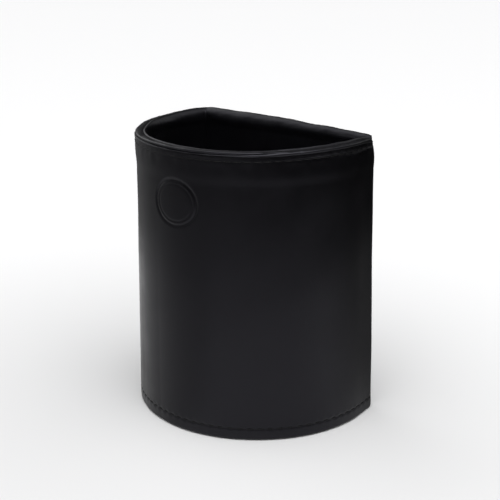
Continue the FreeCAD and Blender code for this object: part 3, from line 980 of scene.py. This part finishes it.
def make_lining(name, node_name, plan, start, end, pinches, settings):
    """One of the two linings, between the corner mitres at two distances."""
    rim, hem, finish, top = settings.cup_rim, settings.cup_hem, settings.cup_finish, CAD_HIGH.z
    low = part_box(node_name)[0].z
    soft, face = lining_section(rim, hem, top, low, 0)
    crisp, _ = lining_section(rim, hem, top, low, 1)
    ridged, _ = lining_section(rim, hem, top, low, 1, ridged=1)
    distance = eased_ends(start, end, step=0.5 * MM, edge=0.3 * MM)
    far = distance[:, None]
    lip, bead = uneven(plan, far, LIP_CRISPNESS), uneven(plan, far, BEAD_FULLNESS)
    out, up = (soft[:, k] + (crisp - soft)[:, k] * lip + (ridged - crisp)[:, k] * bead
               for k in range(2))
    lift = lining_relief(rim, top, far, out, up, pinches)

    # the roll is drawn in where it is thin and at the corners, and so is the hidden edge there
    corner_draw = MM * uneven(plan, far, CORNER_DRAW)
    drawn_in = (1 - uneven(plan, far, ROLL_FULLNESS)) * rim.roll_outset + corner_draw
    past = np.clip((out + rim.roll_crest) / (rim.roll_outset + rim.roll_crest), 0, 1)
    out = out - past * drawn_in * smooth(top - 3 * MM, top - rim.roll_foot, up)
    tucked = (1 - face) * smooth(-0.7 * MM, -0.5 * MM, soft[:, 0])
    tuck_share, tuck_most = 0.85, 0.53 * MM
    out = out - tucked * np.minimum(tuck_share * corner_draw, tuck_most)

    n_out, n_up = section_normals(out, up)
    rise = MM * uneven(plan, far, RIM_RISE) * smooth(top - 2.6 * MM, top - 1.55 * MM, up)
    out, up = out + n_out * lift * face, up + n_up * lift * face + rise
    # the inside is squared to a sharp mitre, and the rounding comes back across the roll
    out = out + plan.squared(far, out) * (1 - smooth(-1.9 * MM, -0.9 * MM, out))
    # painted highlight: the crisp lip takes the paler worn colour, partly wear and partly a
    # painted highlight
    lip_middle, wear_reach = 0.35 * MM - rim.inner_face, 0.3 * MM
    on_lip = bump(crisp[:, 0], lip_middle, wear_reach)
    worn = finish.lip_wear_and_highlight * lip * on_lip * bump(crisp[:, 1], top - rim.lip_drop, wear_reach)
    piece = carried(name, plan, distance, out, up, worn * face, lining_leather(finish), crease=34)
    finished(piece, "lining_leather", node_name)
    return piece


def flat_outline(node_name):
    """The outer boundary of a level CAD panel's top, as plan points in order."""
    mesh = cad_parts[node_name].data
    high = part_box(node_name)[1].z
    seen = {}
    for vertex in mesh.vertices:
        if abs(vertex.co.z - high) < 1e-6:
            seen[(round(vertex.co.x, 6), round(vertex.co.y, 6))] = vertex.co.xy
    points = sorted(seen.values(), key=lambda p: math.atan2(p.y, p.x))
    return np.array([tuple(p) for p in points])


def resampled(loop, count):
    """A closed loop of plan points, evenly spaced again."""
    closed = np.vstack([loop, loop[:1]])
    run = np.r_[0, np.cumsum(np.hypot(*np.diff(closed, axis=0).T))]
    where = np.linspace(0, run[-1], count, endpoint=False)
    return np.stack([np.interp(where, run, closed[:, k]) for k in range(2)], -1)


def make_sheet(name, node_name, edge, sag, material, slot_name):
    """A level sheet with a rounded edge and a faint sag or swell across its middle."""
    low, high = (corner.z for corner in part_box(node_name))
    loop = resampled(flat_outline(node_name), 240)
    count = len(loop)
    shift = np.roll(loop, -1, 0) - np.roll(loop, 1, 0)
    inward = np.stack([-shift[:, 1], shift[:, 0]], -1) / np.hypot(*shift.T)[:, None]
    centre, lower = loop.mean(0), loop + inward * edge

    def layer(flat, height):
        """One ring of the sheet's points, at one height or at a height for each."""
        return np.column_stack([flat, np.full(count, height)])

    rounded = eased((0, high - edge), (0, high), (edge, high), 5)
    profile = [(inset, low + high - z) for inset, z in rounded[::-1]] + rounded
    layers = [layer(loop + inward * inset, z) for inset, z in profile]
    for share_in in (0.06, 0.14, 0.26, 0.4, 0.56, 0.72, 0.88):
        flat = lower + (centre - lower) * share_in
        swell = sag * waves(flat[:, 0], flat[:, 1], *WAVES["floor"])
        layers.append(layer(flat, high + swell * smooth(0, 0.3, share_in) - abs(sag)))
        layers.insert(0, layer(flat, low))
    verts = np.vstack(layers + [[*centre, low], [*centre, high - abs(sag)]])
    faces = ring_quads(len(layers), count)
    last, bottom, crown = (len(layers) - 1) * count, len(verts) - 2, len(verts) - 1
    for j in range(count):
        after = (j + 1) % count
        faces.append((j, after, bottom))
        faces.append((last + after, last + j, crown))
    piece = add_piece(name, closed_mesh(name, verts, faces, material))
    finished(piece, slot_name, node_name)
    return piece


# ---------------------------------------------------------------- thread and cord, in nodes

def path_curve(name, points, closed):
    """A plain curve through points, which Geometry Nodes then follow."""
    data = bpy.data.curves.new(name, "CURVE")
    data.dimensions = "3D"
    spline = data.splines.new("POLY")
    spline.points.add(len(points) - 1)
    spline.points.foreach_set("co", np.column_stack([points, np.ones(len(points))]).ravel())
    spline.use_cyclic_u = closed
    piece = bpy.data.objects.new(name, data)
    bpy.context.scene.collection.objects.link(piece)
    return piece


def solved(path, tree, values, name):
    """Runs a node tree on a path and returns its result as a plain mesh piece."""
    modifier = path.modifiers.new("Shape", "NODES")
    modifier.node_group = tree
    sockets = {s.name: s.identifier for s in tree.interface.items_tree
               if s.item_type == "SOCKET" and s.in_out == "INPUT"}
    for key, value in values.items():
        modifier[sockets[key]] = value
    seen = path.evaluated_get(bpy.context.evaluated_depsgraph_get())
    mesh = bpy.data.meshes.new_from_object(seen)
    mesh.name = name
    path.modifiers.remove(modifier)
    bpy.data.objects.remove(path)
    return add_piece(name, mesh)


def random_value(tree, low, high, seed):
    """A random number between low and high for each point, by its index and a seed."""
    made = node(tree, "FunctionNodeRandomValue", data_type="FLOAT")
    sockets = {socket.identifier: socket for socket in made.inputs}
    for key, value in (("Min_001", low), ("Max_001", high), ("Seed", seed)):
        put(tree, sockets[key], value)
    return next(s for s in made.outputs if s.identifier == "Value_001")


def finish_tree(tree, outside, geometry, material):
    """Ends a tree: instances made real, with their material, go out as its mesh."""
    real = node(tree, "GeometryNodeRealizeInstances", {"Geometry": geometry})
    done = node(tree, "GeometryNodeSetMaterial",
                {"Geometry": real.outputs["Geometry"], "Material": material})
    tree.links.new(done.outputs["Geometry"], outside.inputs["Mesh"])


def stitch_tree():
    """Stitches set evenly round a closed path, each an arched length of thread."""
    tree, inside, outside = new_group(
        "Stitch row", "GeometryNodeTree",
        [("Path", "NodeSocketGeometry", None), ("Stitches", "NodeSocketInt", 70),
         ("Stitch length", "NodeSocketFloat", 2.5 * MM), ("Rise", "NodeSocketFloat", 0.3 * MM),
         ("Sink", "NodeSocketFloat", 0.3 * MM), ("Thread radius", "NodeSocketFloat", 0.3 * MM),
         ("Slant", "NodeSocketFloat", 0.06), ("Seed", "NodeSocketInt", 0),
         ("Material", "NodeSocketMaterial", None)],
        [("Mesh", "NodeSocketGeometry")])
    given = inside.outputs
    overshoot = 0.34  # handles this much past the crown bring the middle of the arch up to it
    handle_share, taper, stretch = 0.62, 0.45, 0.06

    def vector(x, y):
        """A place in the plane of one stitch."""
        return node(tree, "ShaderNodeCombineXYZ", {0: x, 1: y}).outputs[0]

    # one stitch: X is out of the leather and Y runs along the row
    half = maths(tree, "MULTIPLY", given["Stitch length"], 0.5)
    back = maths(tree, "MULTIPLY", half, -1.0)
    sink = maths(tree, "MULTIPLY", given["Sink"], -1.0)
    extra = maths(tree, "MULTIPLY", given["Sink"], overshoot)
    crown = maths(tree, "MULTIPLY_ADD", given["Rise"], 1 + overshoot, extra)
    arch = node(tree, "GeometryNodeCurvePrimitiveBezierSegment",
                {"Resolution": 8, "Start": vector(sink, back),
                 "Start Handle": vector(crown, maths(tree, "MULTIPLY", back, handle_share)),
                 "End Handle": vector(crown, maths(tree, "MULTIPLY", half, handle_share)),
                 "End": vector(sink, half)})
    along = node(tree, "GeometryNodeSplineParameter").outputs["Factor"]
    off = maths(tree, "ABSOLUTE", maths(tree, "MULTIPLY_ADD", along, 2.0, -1.0))
    width = maths(tree, "MULTIPLY_ADD", maths(tree, "POWER", off, 4.0), -taper, 1.0)
    ring = node(tree, "GeometryNodeCurvePrimitiveCircle",
                {"Resolution": 7, "Radius": given["Thread radius"]})
    marked = node(tree, "GeometryNodeStoreNamedAttribute",
                  {"Geometry": arch.outputs["Curve"], "Name": "along", "Value": along},
                  data_type="FLOAT", domain="POINT")
    thread = node(tree, "GeometryNodeCurveToMesh",
                  {"Curve": marked.outputs["Geometry"], "Profile Curve": ring.outputs["Curve"],
                   "Scale": width, "Fill Caps": True})
    soft = node(tree, "GeometryNodeSetShadeSmooth", {"Geometry": thread.outputs["Mesh"]})

    # the row: each stitch stands on the path, with a small lean and length of its own
    points = node(tree, "GeometryNodeResampleCurve",
                  {"Curve": given["Path"], "Count": given["Stitches"]}, mode="COUNT")
    tangent = node(tree, "GeometryNodeInputTangent").outputs["Tangent"]
    stood = node(tree, "FunctionNodeAlignRotationToVector", {"Vector": tangent}, axis="Y",
                 pivot_axis="Z")
    least = maths(tree, "MULTIPLY", given["Slant"], -1.0)
    lean = node(tree, "ShaderNodeCombineXYZ",
                {0: random_value(tree, least, given["Slant"], given["Seed"])})
    spin = node(tree, "FunctionNodeEulerToRotation", {"Euler": lean.outputs[0]})
    rotation = node(tree, "FunctionNodeRotateRotation",
                    {"Rotation": stood.outputs["Rotation"], "Rotate By": spin.outputs["Rotation"]},
                    rotation_space="LOCAL")
    next_seed = maths(tree, "ADD", given["Seed"], 1.0)
    longer = random_value(tree, 1 - stretch, 1 + stretch, next_seed)
    scale = node(tree, "ShaderNodeCombineXYZ", {0: 1.0, 1: longer, 2: 1.0})
    placed = node(tree, "GeometryNodeInstanceOnPoints",
                  {"Points": points.outputs["Curve"], "Instance": soft.outputs["Geometry"],
                   "Rotation": rotation.outputs["Rotation"], "Scale": scale.outputs[0]})
    finish_tree(tree, outside, placed.outputs["Instances"], given["Material"])
    return tree


def cord_tree():
    """A three-strand twisted cord that follows an open path."""
    tree, inside, outside = new_group(
        "Twisted cord", "GeometryNodeTree",
        [("Path", "NodeSocketGeometry", None), ("Step", "NodeSocketFloat", 0.6 * MM),
         ("Cord radius", "NodeSocketFloat", 0.9 * MM), ("Strand share", "NodeSocketFloat", 0.3),
         ("Lay length", "NodeSocketFloat", 6 * MM), ("Material", "NodeSocketMaterial", None)],
        [("Mesh", "NodeSocketGeometry")])
    given, strands = inside.outputs, 3
    spine = node(tree, "GeometryNodeResampleCurve",
                 {"Curve": given["Path"], "Length": given["Step"]}, mode="LENGTH")
    run = node(tree, "GeometryNodeSplineParameter")
    turns = maths(tree, "DIVIDE", run.outputs["Length"], given["Lay length"])
    twist = node(tree, "GeometryNodeSetCurveTilt",
                 {"Curve": spine.outputs["Curve"],
                  "Tilt": maths(tree, "MULTIPLY", turns, 2 * math.pi)})
    ring = node(tree, "GeometryNodeCurvePrimitiveCircle",
                {"Resolution": 18, "Radius": given["Cord radius"]})
    turn = maths(tree, "MULTIPLY", run.outputs["Factor"], strands * math.pi)
    lobe = maths(tree, "ABSOLUTE", maths(tree, "SINE", turn))
    plain = maths(tree, "SUBTRACT", 1.0, given["Strand share"])
    swell = maths(tree, "MULTIPLY_ADD", lobe, given["Strand share"], plain)
    where = node(tree, "GeometryNodeInputPosition").outputs["Position"]
    pushed = node(tree, "ShaderNodeVectorMath", {0: where, "Scale": swell}, operation="SCALE")
    lobed = node(tree, "GeometryNodeSetPosition",
                 {"Geometry": ring.outputs["Curve"], "Position": pushed.outputs["Vector"]})
    cord = node(tree, "GeometryNodeCurveToMesh",
                {"Curve": twist.outputs["Curve"], "Profile Curve": lobed.outputs["Geometry"],
                 "Fill Caps": True})
    soft = node(tree, "GeometryNodeSetShadeSmooth", {"Geometry": cord.outputs["Mesh"]})
    finish_tree(tree, outside, soft.outputs["Geometry"], given["Material"])
    return tree


def make_stitches(name, node_name, plan, outset, height, settings, on_hem):
    """One row of topstitching, all round the cup, in its furrow in the cover."""
    sizes, rise_share, draw_share = settings.cup_stitch, 0.4, 0.7
    right = np.linspace(0, plan.half(), 900)
    distance = np.concatenate([right, -right[::-1][1:-1]])
    standing = cover_ease(plan, distance, height, settings.cup_hem) - sizes.furrow_depth
    level = np.full(len(distance), height)
    if on_hem:
        level = level + rise_share * MM * uneven(plan, distance, RIM_RISE)
        standing = standing + outset * uneven(plan, distance, HEM_FULLNESS)
        standing = standing + sizes.furrow_depth * (1 - uneven(plan, distance, STITCH_DEPTH))
        standing = standing - draw_share * MM * uneven(plan, distance, CORNER_DRAW)
    point, facing = plan.at(distance)
    points = np.column_stack([point + facing * standing[:, None], level])
    path = path_curve(name + "_path", points, closed=True)
    piece = solved(path, shared("Stitch row", stitch_tree), {
        "Stitches": stitch_row(plan, outset, sizes.pitch)[0],
        "Stitch length": sizes.stitch_length,
        "Rise": sizes.furrow_depth + sizes.rise - sizes.thread_width / 2,
        "Sink": 0.15 * MM, "Thread radius": sizes.thread_width / 2, "Slant": 0.05,
        "Seed": sizes.seed, "Material": waxed_thread(settings.cup_finish)}, name)
    finished(piece, "thread", node_name)
    return piece


# ---------------------------------------------------------------- operators

class PENCUP_OT_boards(bpy.types.Operator):
    """Gives the three boards inside the walls and floor their grey board finish"""
    bl_idname = "pencup.boards"
    bl_label = "Finish the boards"

    def execute(self, context):
        for name in ("front_board", "back_board", "base_board"):
            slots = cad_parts[name].data.materials
            slots.clear()
            slots.append(grey_board(context.scene.cup_finish))
        return {"FINISHED"}


class PENCUP_OT_rim_cords(bpy.types.Operator):
    """Makes the twisted cotton cords that pad the rim, on top of the boards"""
    bl_idname = "pencup.rim_cords"
    bl_label = "Make the rim cords"

    def execute(self, context):
        scene = context.scene
        plan, rim, cotton = PlanLine(scene.cup_plan), scene.cup_rim, cotton_cord(scene.cup_finish)
        low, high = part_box("front_rim_cord")
        radius = min((high.z - low.z) / 2, rim.cord_radius)
        gap, whole = rim.cord_gap, 2 * plan.half()
        stretches = {
            "front_rim_cord": np.linspace(gap - plan.mitre, plan.mitre - gap, 500),
            "back_rim_cord": np.linspace(plan.mitre + gap, whole - plan.mitre - gap, 300),
        }
        for node_name, distance in stretches.items():
            point, facing = plan.at(distance)
            flat = point - facing * rim.cord_inset
            middle = low.z + radius + np.minimum(0, MM * uneven(plan, distance, RIM_RISE)) / 2
            path = path_curve(node_name + "_path", np.column_stack([flat, middle]),
                              closed=False)
            piece = solved(path, shared("Twisted cord", cord_tree),
                           {"Step": 0.5 * MM, "Cord radius": radius, "Strand share": 0.22,
                            "Lay length": 7 * MM, "Material": cotton},
                           node_name.replace("cord", "padding"))
            finished(piece, "padding", node_name)
        return {"FINISHED"}


class PENCUP_OT_lining(bpy.types.Operator):
    """Makes the lining of front, back and floor, with the rim rolled over its padding"""
    bl_idname = "pencup.lining"
    bl_label = "Make the lining"

    def execute(self, context):
        scene = context.scene
        plan = PlanLine(scene.cup_plan)
        mitre, whole, gap = plan.mitre, 2 * plan.half(), MITRE_GAP
        make_lining("lining_front", "front_lining", plan, gap - mitre, mitre - gap,
                    (-mitre, mitre), scene)
        make_lining("lining_back", "back_lining", plan, mitre + gap, whole - mitre - gap,
                    (mitre, whole - mitre), scene)
        make_sheet("lining_floor", "floor_lining", edge=0.35 * MM, sag=0.06 * MM,
                   material=lining_leather(scene.cup_finish), slot_name="lining_leather")
        return {"FINISHED"}


class PENCUP_OT_cover(bpy.types.Operator):
    """Makes the front and back covers, with their folded hem, foot and stamped ring"""
    bl_idname = "pencup.cover"
    bl_label = "Make the covers"

    def execute(self, context):
        scene = context.scene
        plan = PlanLine(scene.cup_plan)
        seam = plan.ends[2] + scene.cup_plan.cover_wrap
        gap = scene.cup_plan.seam_gap
        make_cover("cover_front", "front_cover", plan, -seam, seam, scene)
        make_cover("cover_back", "back_cover", plan, seam + gap,
                   2 * plan.half() - seam - gap, scene)
        return {"FINISHED"}


class PENCUP_OT_stitching(bpy.types.Operator):
    """Makes the two rows of topstitching that run all round, below the rim and above the foot"""
    bl_idname = "pencup.stitching"
    bl_label = "Make the stitching"

    def execute(self, context):
        scene = context.scene
        plan, hem, stitch = PlanLine(scene.cup_plan), scene.cup_hem, scene.cup_stitch
        rim_row = hem_top_height(scene.cup_rim, hem) - stitch.rim_inset
        make_stitches("stitches_rim", "rim_stitching", plan, hem.hem_outset, rim_row, scene, True)
        make_stitches("stitches_base", "base_stitching", plan, 0, stitch.base_height, scene, False)
        return {"FINISHED"}


class PENCUP_OT_base_pad(bpy.types.Operator):
    """Makes the felt pad that the cup stands on"""
    bl_idname = "pencup.base_pad"
    bl_label = "Make the base pad"

    def execute(self, context):
        felt = black_felt(context.scene.cup_finish)
        piece = make_sheet("felt_pad", "base_pad", edge=0.4 * MM, sag=0.0, material=felt,
                           slot_name="pad_fabric")
        return {"FINISHED"}


class PENCUP_OT_stage(bpy.types.Operator):
    """Makes the camera, the pale floor and the soft light"""
    bl_idname = "pencup.stage"
    bl_label = "Set the stage"

    def execute(self, context):
        scene = context.scene
        back, right = self.make_camera(scene, scene.cup_stage)
        front = Vector((back.x, back.y, 0)).normalized()

        def way(up_part, right_part, front_part):
            """The direction that these parts up, right and to the front add up to."""
            return (UP * up_part + right * right_part + front * front_part).normalized()

        lights = [(way(*parts), start, full, level)
                  for parts, start, full, level in STUDIO_LIGHTS.values()]
        self.make_floor(scene, right, way(*FLOOR_PAINTED_SHADE_WAY))
        self.make_world(scene, lights)
        self.make_lamp(scene, way(*STUDIO_LIGHTS["overhead"][0]))
        return {"FINISHED"}

    @staticmethod
    def make_camera(scene, settings):
        """The camera; returns the directions to it and to its right."""
        azimuth, elevation, lean = settings.azimuth, settings.elevation, settings.roll
        back = Vector((math.sin(azimuth) * math.cos(elevation),
                       -math.cos(azimuth) * math.cos(elevation), math.sin(elevation)))
        right = (-back).cross(UP).normalized()
        up = right.cross(-back)
        front_middle = Vector((0, -25 * MM, 50 * MM))
        aim = front_middle + right * settings.aim_right + up * settings.aim_up
        camera = bpy.data.cameras.new("Camera")
        camera.lens, camera.sensor_width = settings.lens, 36.0
        camera.clip_start, camera.clip_end = 0.01, 100.0
        viewer = bpy.data.objects.new("Camera", camera)
        scene.collection.objects.link(viewer)
        across = right * math.cos(lean) + up * math.sin(lean)
        over = up * math.cos(lean) - right * math.sin(lean)
        turn = Matrix((across, over, back)).transposed()
        viewer.matrix_world = Matrix.Translation(aim + back * settings.distance) @ turn.to_4x4()
        scene.camera = viewer
        scene.view_settings.view_transform = "Standard"
        return back, right

    @staticmethod
    def make_floor(scene, right, beyond):
        """A wide, flat floor that the camera sees pale all over, with a painted shadow that greys
        it a little by the cup.

        As light, its colour is painted: only the floor close by counts in full. It fades with
        distance in a painted fall-off, in painted shade beyond the cup and at the far left, where
        what is left is a painted faint glow.
        """
        half, pale = 6.0, scene.cup_stage.floor_pale
        mesh = bpy.data.meshes.new("floor")
        mesh.from_pydata([(-half, -half, 0), (half, -half, 0), (half, half, 0), (-half, half, 0)],
                         [], [(0, 1, 2, 3)])
        material, shader, where = new_material("Pale floor", {"Roughness": 0.9,
                                                              "Specular IOR Level": 0.0})
        tree = material.node_tree
        facing = vectors(tree, "NORMALIZE", where)
        # painted fall-off: the floor's colour as light darkens by distance from the cup's middle,
        # in metres
        close = ranged(tree, vectors(tree, "LENGTH", where), 0.17, 0.32, 1.0, 0.02, "SMOOTHSTEP")
        # painted shade and painted glow: by cosine, from the way into the painted shade and from
        # the camera's right
        past = vectors(tree, "DOT_PRODUCT", facing, beyond)
        side = vectors(tree, "DOT_PRODUCT", facing, right)
        shade = ranged(tree, past, 0.35, 0.9, 1.0, 0.18)
        dim = ranged(tree, side, -0.5, -0.8, 1.0, 0.7, "SMOOTHSTEP")
        glow = ranged(tree, side, 0.15, -0.65, 0.0, 0.24, "SMOOTHSTEP")
        # painted light: the floor's colour as light, darkened and brightened in place of real
        # shade and glow
        painted_throw = maths(tree, "MULTIPLY", maths(tree, "MULTIPLY", close, shade), dim)
        seen = node(tree, "ShaderNodeLightPath").outputs["Is Camera Ray"]
        level = maths(tree, "MAXIMUM", maths(tree, "MAXIMUM", painted_throw, glow), seen)
        # painted shadow: the floor's colour greys round the cup, with its middle a little to the
        # left
        painted_shadow_middle, painted_shadow_grey = right * -35 * MM, 0.84
        patch = vectors(tree, "LENGTH", vectors(tree, "SUBTRACT", where, painted_shadow_middle))
        plain = ranged(tree, patch, 0.04, 0.29, kind="SMOOTHSTEP")
        painted_shadow_tone = mixed(tree, plain, shaded(pale, painted_shadow_grey), tuple(pale))
        tree.links.new(mixed(tree, level, (0.0, 0.0, 0.0), painted_shadow_tone), shader.inputs["Base Color"])
        mesh.materials.append(material)
        floor = bpy.data.objects.new("floor", mesh)
        scene.collection.objects.link(floor)

    @staticmethod
    def make_world(scene, lights):
        """White to the camera; as light, a soft room that is brightest overhead."""
        world = bpy.data.worlds.new("Soft studio")
        scene.world = world
        world.use_nodes = True
        world.cycles.sampling_method = "NONE"
        tree = world.node_tree
        facing = vectors(tree, "NORMALIZE", node(tree, "ShaderNodeTexCoord").outputs["Generated"])
        level = ROOM_LEVEL
        for axis, start, full, most in lights:
            near = vectors(tree, "DOT_PRODUCT", facing, axis)
            lit = ranged(tree, near, start, full, 0.0, most, "SMOOTHSTEP")
            level = maths(tree, "ADD", lit, level)
        seen = node(tree, "ShaderNodeLightPath").outputs["Is Camera Ray"]
        sky = tree.nodes["Background"].inputs
        put(tree, sky["Strength"], maths(tree, "MAXIMUM", level, seen))
        put(tree, sky["Color"], (1.0, 1.0, 1.0, 1.0))

    @staticmethod
    def make_lamp(scene, overhead):
        """One large soft lamp overhead."""
        lamp, reach = bpy.data.lights.new("Soft box", "AREA"), 1.2
        lamp.shape, lamp.size, lamp.energy = "DISK", 1.0, 2.5
        box = bpy.data.objects.new("Soft box", lamp)
        scene.collection.objects.link(box)
        place = overhead * reach
        box.matrix_world = (Matrix.Translation(place)
                            @ place.to_track_quat("Z", "Y").to_matrix().to_4x4())


class PENCUP_PT_panel(bpy.types.Panel):
    """Sizes, finishes and the steps that build the pen cup"""
    bl_idname = "PENCUP_PT_panel"
    bl_label = "Pen Cup"
    bl_space_type = "VIEW_3D"
    bl_region_type = "UI"
    bl_category = "Pen Cup"

    def draw(self, context):
        layout = self.layout
        for operator in STEPS:
            layout.operator(operator.bl_idname)
        for name, group in GROUPS.items():
            box = layout.box()
            box.label(text=group.__doc__)
            for key in group.__annotations__:
                box.prop(getattr(context.scene, name), key)


STEPS = (PENCUP_OT_boards, PENCUP_OT_rim_cords, PENCUP_OT_lining, PENCUP_OT_cover,
         PENCUP_OT_stitching, PENCUP_OT_base_pad, PENCUP_OT_stage)


def register():
    """Registers the classes, and hangs each group of sizes on the scene."""
    for group in GROUPS.values():
        bpy.utils.register_class(group)
    for made in (*STEPS, PENCUP_PT_panel):
        bpy.utils.register_class(made)
    for name, group in GROUPS.items():
        setattr(bpy.types.Scene, name, bpy.props.PointerProperty(type=group))


def unregister():
    """Takes the groups and the classes away again."""
    for name in GROUPS:
        delattr(bpy.types.Scene, name)
    for made in (PENCUP_PT_panel, *reversed(STEPS)):
        bpy.utils.unregister_class(made)
    for group in reversed(list(GROUPS.values())):
        bpy.utils.unregister_class(group)


def main():
    """Builds the whole cup and its stage."""
    register()
    for step in STEPS:
        getattr(bpy.ops.pencup, step.bl_idname.split(".")[1])()


if __name__ == "__main__":
    main()
